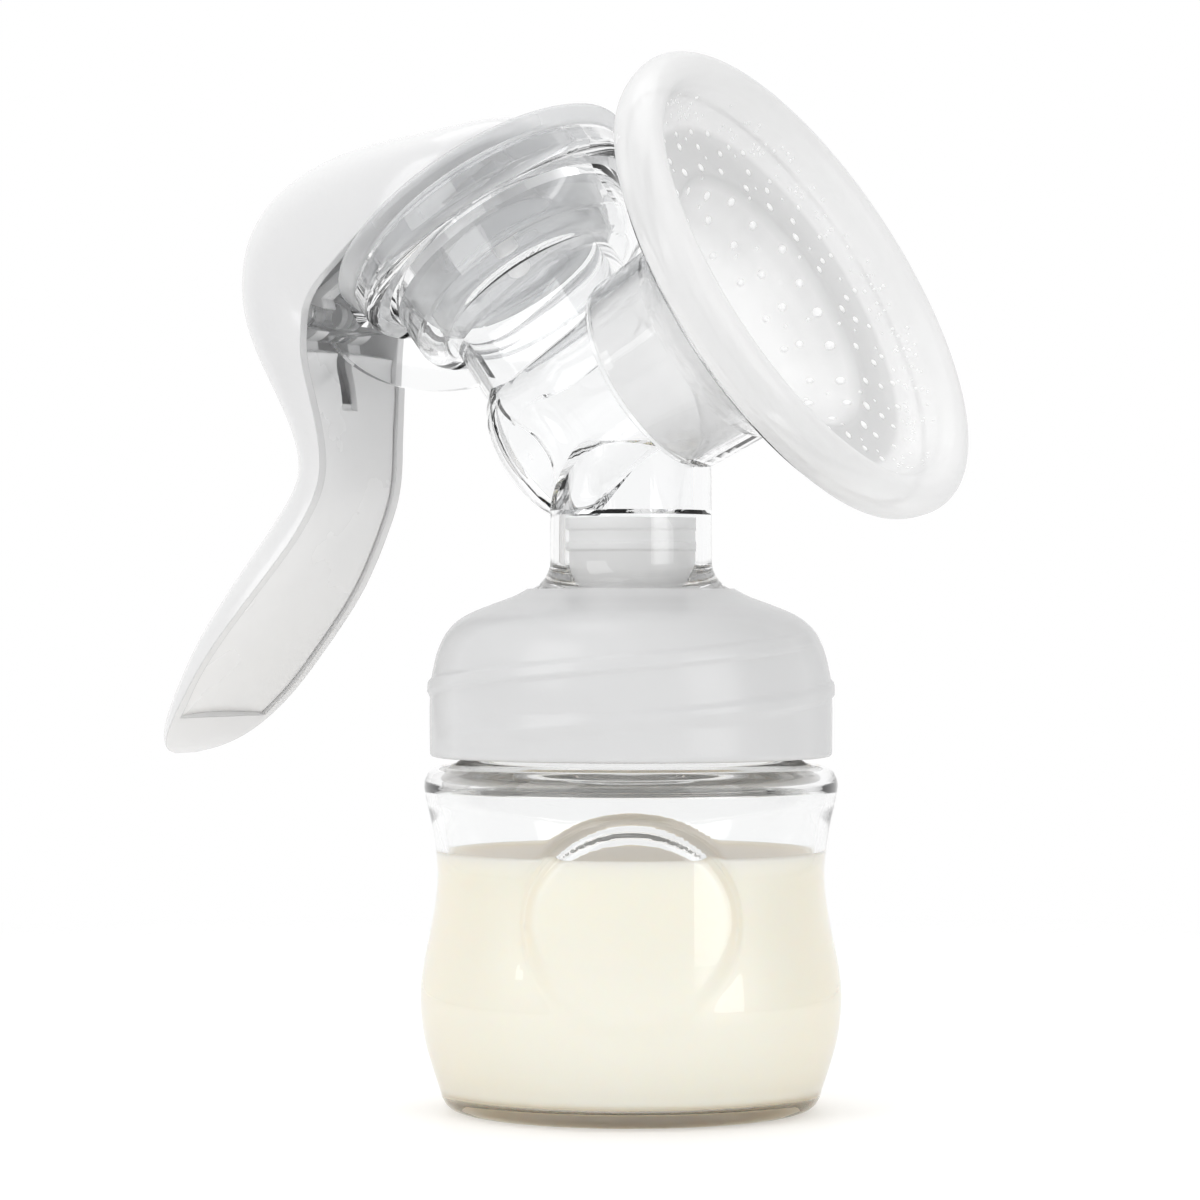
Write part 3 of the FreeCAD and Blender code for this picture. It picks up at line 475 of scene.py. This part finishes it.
def face_point(radius):
    """Height and outward normal (radial, axial) of the cushion's face at a radius."""
    for (r0, h0), (r1, h1) in zip(face_curve, face_curve[1:]):
        if min(r0, r1) <= radius <= max(r0, r1):
            share = (radius - r0) / (r1 - r0)
            normal = Vector((h1 - h0, -(r1 - r0)))
            normal.normalize()
            if normal.y < 0:
                normal = -normal
            return h0 + (h1 - h0) * share, normal


def dot_places():
    """Scattered dots as (angle, radius on the face, dot radius)."""
    rnd = random.Random(20)
    places = []
    for ring, (radius, count, size) in enumerate(DOT_RINGS):
        odd = ring % 2
        for k in range(count):
            angle = TURN * (k + 0.5 * odd) / count + rnd.uniform(-0.05, 0.05)
            places.append((angle, radius + rnd.uniform(-0.5, 0.5), size * rnd.uniform(0.85, 1.1)))
            if k % 2 == odd:
                places.append((angle + math.pi / count, radius + 1.5 + rnd.uniform(-0.3, 0.3),
                               SMALL_DOT))
    for k in range(RIM_DOTS):
        places.append((rnd.uniform(0, TURN), rnd.uniform(31.2, 34.2), rnd.uniform(0.16, 0.3)))
    return places


def build_dots():
    """Small closed domes, in one mesh."""
    origin, axis, zero = CUSHION
    side = axis.cross(zero)
    verts, faces = [], []
    for angle, radius, size in dot_places():
        height, slope = face_point(radius)
        outward = zero * math.cos(angle) + side * math.sin(angle)
        tangent = -zero * math.sin(angle) + side * math.cos(angle)
        normal = (outward * slope.x + axis * slope.y).normalized()
        across = normal.cross(tangent)
        centre = origin + axis * height + outward * radius
        base = len(verts)
        for k in range(DOT_LEVELS):
            climb = k / DOT_LEVELS * math.pi / 2
            ring_radius = size * math.cos(climb)
            lift = size * DOT_DOME * math.sin(climb) - DOT_SINK
            for q in range(DOT_SEGS):
                around = TURN * q / DOT_SEGS
                verts.append((centre + tangent * (ring_radius * math.cos(around))
                              + across * (ring_radius * math.sin(around)) + normal * lift) * MM)
        verts.append((centre + normal * (size * DOT_DOME - DOT_SINK)) * MM)
        for k in range(DOT_LEVELS - 1):
            low, high = base + k * DOT_SEGS, base + (k + 1) * DOT_SEGS
            for q in range(DOT_SEGS):
                w = (q + 1) % DOT_SEGS
                faces.append((low + q, low + w, high + w, high + q))
        top = base + (DOT_LEVELS - 1) * DOT_SEGS
        for q in range(DOT_SEGS):
            faces.append((top + q, top + (q + 1) % DOT_SEGS, top + DOT_SEGS))
        faces.append(tuple(base + q for q in reversed(range(DOT_SEGS))))
    dots = add_mesh("cushion_dots", verts, faces, dot_mat)
    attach(dots, "cushion")


# ---------------------------------------------------------------- diaphragm
# (radius, height along the diaphragm's axis): the underside from the rim in, the upper side
# from the hub out, and the rim between them
UNDER = [(18.35, -1.3), (18.15, -5.0), (17.75, -9.0), (16.9, -12.0), (15.2, -13.4),
         (13.3, -12.7), (11.6, -10.2), (9.6, -7.7), (7.4, -6.75), (5.4, -6.7)]
OVER = [(5.2, -5.3), (7.6, -5.4), (10.3, -6.6), (12.5, -9.3), (14.1, -11.5), (15.2, -12.1),
        (16.0, -11.2), (16.6, -8.8), (17.0, -5.0), (17.2, -0.9)]
RIM = [(17.3, -0.5), (17.55, -0.2), (17.9, -0.03), (18.3, 0.0), (21.5, 0.0), (25.3, 0.0),
       (25.75, -0.06), (26.1, -0.3), (26.3, -0.75), (26.2, -1.1), (25.5, -2.55), (25.25, -2.9),
       (24.9, -3.0), (22.5, -3.0), (22.45, -2.6), (22.45, -1.6), (22.1, -1.36), (20.0, -1.3),
       (18.6, -1.28)]
HUB_HOLE, HUB_TOP, HUB_FOOT = 1.78, -5.0, -6.7


def build_diaphragm():
    """The wall outside the bottom of the roll, which stretches on the real pump, is baked in place
    and not attached; the hub inside it moves with the stem.
    """
    steps = 6
    under, over = smooth_curve(UNDER, steps), smooth_curve(OVER, steps)
    # where the curves pass the bottom of the roll, at 15.2 mm from the axis
    under_split, over_split = 4 * steps, 5 * steps
    wall = lathe("diaphragm_wall", over[over_split:] + RIM + under[:under_split + 1],
                 DIAPHRAGM, diaphragm_mat, segs=192)
    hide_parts("diaphragm")
    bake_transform(wall)

    profile = ([(HUB_HOLE, HUB_FOOT), (HUB_HOLE, HUB_TOP), (3.4, -5.1)]
               + over[:over_split + 1] + under[under_split:] + [(3.4, HUB_FOOT)])
    hub = lathe("diaphragm_hub", profile, DIAPHRAGM, diaphragm_mat, segs=160)
    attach(hub, "stem")


# ---------------------------------------------------------------- duckbill valve
VALVE_TOP = 92.3
BARREL_BORE, BARREL_RADIUS, BARREL_RING = 8.4, 9.7, 10.33
# Corners of the barrel: (radius, z, rounding)
BARREL = [
    (BARREL_BORE, VALVE_TOP, 0.25), (BARREL_RING, VALVE_TOP, 0.3),
    (BARREL_RING, VALVE_TOP - 1.8, 0.3), (BARREL_RADIUS, VALVE_TOP - 2.05, 0.2),
    (BARREL_RADIUS, VALVE_TOP - 3.75, 0.2), (BARREL_RING, VALVE_TOP - 4.0, 0.25),
    (BARREL_RING, VALVE_TOP - 5.0, 0.25), (BARREL_RADIUS, VALVE_TOP - 5.25, 0.2),
    (BARREL_RADIUS, 79.2, 0.3), (10.9, 77.4, 0.3), (10.9, 76.2, 0.3), (9.4, 76.2, 0.2),
    (BARREL_BORE, 79.2, 0.3)]
# Sections of the bill, down the outside and back up the inside: (z, half size in x, in y)
BILL = [(77.6, 9.6, 9.6), (75.6, 9.55, 8.6), (73.6, 9.4, 7.2), (71.4, 9.15, 5.3),
        (69.2, 8.8, 3.4), (67.4, 8.45, 2.0), (66.3, 8.25, 1.35), (66.0, 8.0, 1.1),
        (66.05, 7.4, 0.35), (67.0, 7.1, 0.5), (69.6, 7.5, 2.1), (71.8, 7.85, 4.0),
        (74.0, 8.2, 5.9), (76.0, 8.35, 7.4), (77.6, 8.45, 8.45)]
BILL_SEGS = 96
BILL_POWER = 0.85  # below 1 makes the sections squarer than an ellipse


def build_valve():
    barrel = lathe("valve_barrel", rounded(BARREL, 3), UPRIGHT, valve_white, segs=128)
    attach(barrel, "valve")
    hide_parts("duckbill_valve")

    verts, faces = [], []
    for i, (z, half_x, half_y) in enumerate(BILL):
        row, next_row = i * BILL_SEGS, (i + 1) % len(BILL) * BILL_SEGS
        for k in range(BILL_SEGS):
            angle = TURN * k / BILL_SEGS
            cos, sin = math.cos(angle), math.sin(angle)
            x = half_x * math.copysign(abs(cos) ** BILL_POWER, cos)
            y = half_y * math.copysign(abs(sin) ** BILL_POWER, sin)
            verts.append(Vector((x, y, z)) * MM)
            q = (k + 1) % BILL_SEGS
            faces.append((row + k, row + q, next_row + q, next_row + k))
    bill = add_mesh("valve_bill", verts, faces, valve_white)
    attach(bill, "valve")


# ---------------------------------------------------------------- screw collar
# (radius, z): the outer dome, then the top edge and the underside of the roof
COLLAR_DOME = [(31.55, 62.5), (31.35, 66.6), (30.9, 69.2), (30.2, 71.8), (29.0, 74.2),
               (27.3, 76.1), (25.0, 77.5), (21.8, 78.8), (18.6, 80.0), (16.6, 81.0)]
COLLAR_ROOF = [(16.2, 81.25), (15.95, 81.1), (15.9, 80.8), (15.9, 79.0), (24.2, 75.3),
               (26.4, 73.5), (26.8, 73.35), (28.7, 73.35)]
# Two soft ridges climb the outside from opposite starts (degrees) and fade at both ends
RIDGE_STARTS, RIDGE_HEIGHT = (-135.7, 44.3), 0.5
RIDGE_BOTTOM, RIDGE_TOP, RIDGE_LEAD = 57.7, 75.0, 17.6
RIDGE = dict(bottom=RIDGE_BOTTOM, lead=RIDGE_LEAD, turns=(RIDGE_TOP - RIDGE_BOTTOM) / RIDGE_LEAD,
             half_base=1.45, half_crest=0.7, fade_in=0.06, fade_out=3.2 / RIDGE_LEAD)


def build_collar():
    foot = [(30.85, 55.0), (31.2, 55.1), (31.45, 55.4), (31.5, 55.9)]
    skirt = [(31.5 + 0.05 * k / 8, 55.9 + 6.6 * k / 8) for k in range(1, 8)]
    outer = foot + skirt + smooth_curve(COLLAR_DOME, 9)
    inner = [(28.9, 73.1 - 17.7 * k / 50) for k in range(51)]
    inner_start = len(outer) + len(COLLAR_ROOF)

    def warp(angle, radius, z, k):
        if 3 <= k < len(outer) - 6:
            ridge = max(helix_height(angle, z, start, **RIDGE) for start in RIDGE_STARTS)
            radius += RIDGE_HEIGHT * ridge * smooth_step((z - 55.6) / 1.2)
        elif inner_start <= k < inner_start + len(inner):
            radius -= THREAD_HEIGHT * helix_height(angle, z, 220.0, **THREAD)
        return radius, z

    collar = lathe("collar_nut", outer + COLLAR_ROOF + inner + [(28.92, 55.2), (29.1, 55.0)],
                   UPRIGHT, frosted, segs=360, warp=warp, sharp=50)
    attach(collar, "collar")
    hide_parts("screw_collar")


# ---------------------------------------------------------------- bottle
# (radius, z), upwards on the outside: the base, the side and the shoulder
BOTTLE_BASE = [(0.0, 0.0), (10.0, 0.0), (20.0, 0.0), (26.6, 0.0), (27.6, 0.02), (28.4, 0.3),
               (29.1, 0.95), (29.6, 1.9)]
BOTTLE_SIDE = [(29.9, 3.0), (31.3, 7.2), (32.45, 11.6), (33.0, 17.2), (32.5, 22.4),
               (31.5, 27.4), (30.7, 31.8), (30.3, 36.2), (30.6, 40.6), (31.25, 44.8),
               (32.1, 48.4), (32.4, 50.4)]
BOTTLE_SHOULDER = [(32.28, 51.4), (31.8, 52.5), (31.0, 53.25), (29.9, 53.6), (28.4, 53.8),
                   (27.4, 54.05), (26.8, 54.45)]
BOTTLE_LIP = [(26.45, 69.75), (26.0, 70.0), (25.3, 70.0)]
# (radius, z) inside: the neck downwards, the side upwards, the floor towards the axis
INNER_NECK = [(24.6, 69.95), (24.2, 69.6), (24.2, 66.0), (24.2, 60.0), (24.2, 54.6),
              (24.35, 53.6), (25.2, 53.0), (27.0, 52.3), (28.6, 51.9), (29.7, 51.3), (30.4, 50.6)]
INNER_SIDE = [(28.2, 5.0), (29.5, 8.0), (30.6, 11.9), (31.2, 17.2), (30.75, 22.2),
              (29.8, 27.2), (28.95, 31.8), (28.5, 36.2), (28.8, 40.6), (29.45, 44.8),
              (30.3, 48.0), (30.6, 49.8)]
INNER_FLOOR = [(27.2, 3.4), (25.9, 2.65), (24.4, 2.42), (20.0, 2.4), (10.0, 2.4), (0.0, 2.4)]


def pad_weight(angle, radius, z, edge, soft):
    """1 on the round pad, falling to 0 at its edge over the width soft."""
    away = (angle - PAD_ANGLE + math.pi) % TURN - math.pi
    if abs(away) > 1.2:  # keeps the pad off the opposite side
        return 0.0
    return smooth_step((edge - math.hypot(radius * math.sin(away), z - PAD_Z)) / soft)


def build_bottle():
    """The pad bulges both surfaces of the wall; the neck carries the thread."""
    neck = [(26.6, 54.9 + 14.5 * k / 44) for k in range(45)]
    outer = (BOTTLE_BASE + smooth_curve(BOTTLE_SIDE, 7) + BOTTLE_SHOULDER + neck + BOTTLE_LIP)
    inner = INNER_NECK + smooth_curve(INNER_SIDE[::-1], 7) + INNER_FLOOR

    def warp(angle, radius, z, k):
        if k < len(outer):
            if radius > 26.4 and 54.8 < z < 69.5:
                radius += THREAD_HEIGHT * helix_height(angle, z, 40.0, **THREAD)
            elif radius > 29 and 10 < z < 50:
                weight = pad_weight(angle, radius, z, **PAD_OUTER)
                radius += (PAD_OUTER_RADIUS - radius) * weight
        elif radius > 27 and 10 < z < 50:
            weight = pad_weight(angle, radius, z, **PAD_INNER)
            radius += (PAD_INNER_RADIUS - radius) * weight
        return radius, z

    bottle = lathe("bottle_shell", outer + inner, UPRIGHT, clear_bottle, segs=300,
                   closed=False, warp=warp)
    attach(bottle, "bottle")
    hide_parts("bottle")


# ---------------------------------------------------------------- milk
MILK_LEVEL = 40.0
MILK_WALL = 28.74     # radius of the bottle's inner wall just below the milk's surface
MILK_OVERLAP = 0.12   # how far the milk reaches into the wall it wets


def build_milk():
    """The milk wets the wall and climbs it in a small meniscus."""
    wall = ([(24.6, 2.4), (27.2, 3.4)] + [p for p in INNER_SIDE if p[1] < MILK_LEVEL - 1]
            + [(MILK_WALL, MILK_LEVEL - 0.15)])
    wet = [(radius + MILK_OVERLAP, z) for radius, z in smooth_curve(wall, 7)]
    # (radius, height over the level), inwards
    surface = [(28.95, 0.5), (28.7, 0.42), (28.3, 0.15), (27.6, 0.02), (26.0, 0.0), (20.0, 0.0),
               (8.0, 0.0), (0.0, 0.0)]
    profile = ([(0.0, 2.35), (12.0, 2.35), (23.0, 2.35)] + wet
               + [(radius, MILK_LEVEL + rise) for radius, rise in surface])

    def warp(angle, radius, z, k):
        if radius > 25 and 10 < z:
            weight = pad_weight(angle, radius, z, **PAD_INNER)
            if z > MILK_LEVEL - 0.5:
                bulge = (PAD_INNER_RADIUS - MILK_WALL) * weight
                radius += bulge * smooth_step((radius - 25.5) / 3.2)
            else:
                radius += (PAD_INNER_RADIUS + MILK_OVERLAP - radius) * weight
        return radius, z

    milk = lathe("milk_fill", profile, UPRIGHT, milk_mat, segs=300, closed=False, warp=warp)
    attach(milk, "bottle")


# ---------------------------------------------------------------- floor, world, lights, camera
VIEW_TURN = math.radians(29.0)
TO_CAMERA = Vector((math.sin(VIEW_TURN), -math.cos(VIEW_TURN), 0.0))
RIGHT = Vector((math.cos(VIEW_TURN), math.sin(VIEW_TURN), 0.0))  # the camera's right
AIM = Vector((0, 0, 0.085))
# (name, offset from AIM towards the camera, to its right and up, width, height, watts)
SOFTBOXES = [("key", (0.45, -0.55, 0.35), 0.45, 0.6, 1.8),
             ("fill", (0.55, 0.6, 0.15), 0.45, 0.6, 1.9),
             ("top", (-0.1, 0.0, 0.75), 0.7, 0.7, 1.8)]


def build_floor():
    half = 1.2
    mesh = bpy.data.meshes.new("floor")
    mesh.from_pydata([(-half, -half, 0), (half, -half, 0), (half, half, 0), (-half, half, 0)],
                     [], [(0, 1, 2, 3)])
    floor = bpy.data.objects.new("floor", mesh)
    floor.location = (0, 0, -0.0003)
    mesh.materials.append(floor_material())
    scene.collection.objects.link(floor)


def build_world():
    """White to the camera and brightest behind the object, with a dimmer lower right."""
    world = bpy.data.worlds.new("studio")
    scene.world = world
    graph = Graph(world, "ShaderNodeOutputWorld")
    incoming = graph.node("ShaderNodeNewGeometry").outputs["Incoming"]
    rays = graph.node("ShaderNodeLightPath").outputs

    def towards(direction, **span):
        """Brightness that changes as Incoming turns towards direction.

        Incoming points back along the ray: a ray into the backdrop has Incoming = TO_CAMERA.
        """
        turned = graph.vector("DOT_PRODUCT", incoming, tuple(direction.normalized()))
        return graph.map_range(turned, curve="SMOOTHSTEP", **span)

    behind = towards(TO_CAMERA, start=0.1, end=0.8, low=0.60, high=1.0)
    lower_right = towards(-(RIGHT * 0.8 - UP * 0.35 + TO_CAMERA * 0.3),
                          start=-0.1, end=0.9, low=1.0, high=0.72)
    soft = graph.calc("MULTIPLY", behind, lower_right)
    through = towards(TO_CAMERA, start=-0.2, end=0.7, low=0.80, high=1.0)
    through = graph.calc("MULTIPLY", through, rays["Is Transmission Ray"])
    brightness = graph.calc("MAXIMUM", soft, through)
    brightness = graph.calc("MAXIMUM", brightness, rays["Is Camera Ray"])
    # diffuse rays find the world a quarter brighter
    strength = graph.calc("MULTIPLY_ADD", rays["Is Diffuse Ray"], 0.25, 1.0)
    background = graph.node("ShaderNodeBackground", {"Color": brightness, "Strength": strength})
    graph.finish(background.outputs[0])


def build_softbox(name, offset, width, height, power):
    light = bpy.data.lights.new(name, "AREA")
    light.shape = "RECTANGLE"
    light.size, light.size_y = width, height
    light.energy = power
    ob = bpy.data.objects.new(name, light)
    near, right, up = offset
    ob.location = where = AIM + TO_CAMERA * near + RIGHT * right + UP * up
    ob.rotation_mode = "QUATERNION"
    ob.rotation_quaternion = (AIM - where).to_track_quat("-Z", "Y")
    scene.collection.objects.link(ob)


def build_camera():
    camera = bpy.data.cameras.new("camera")
    camera.lens = 124.39
    camera.sensor_width = 36.0
    camera.shift_x = -0.02583333
    camera.shift_y = 0.004016667
    camera.clip_start, camera.clip_end = 0.05, 10.0
    ob = bpy.data.objects.new("camera", camera)
    ob.location = TO_CAMERA * 0.650 + UP * 0.07872
    ob.rotation_mode = "QUATERNION"
    ob.rotation_quaternion = (-TO_CAMERA).to_track_quat("-Z", "Y")
    scene.collection.objects.link(ob)
    scene.camera = ob


def set_render():
    scene.view_settings.view_transform = "Standard"
    cycles = scene.cycles
    cycles.max_bounces = 30
    cycles.transmission_bounces = 28
    cycles.transparent_max_bounces = 24
    cycles.glossy_bounces = 8
    cycles.diffuse_bounces = 6
    cycles.caustics_reflective = False
    cycles.caustics_refractive = False
    cycles.sample_clamp_indirect = 6.0


# ---------------------------------------------------------------- build
build_cushion()
build_dots()
build_diaphragm()
build_valve()
build_collar()
build_bottle()
build_milk()
build_floor()
build_world()
for softbox in SOFTBOXES:
    build_softbox(*softbox)
build_camera()
set_render()
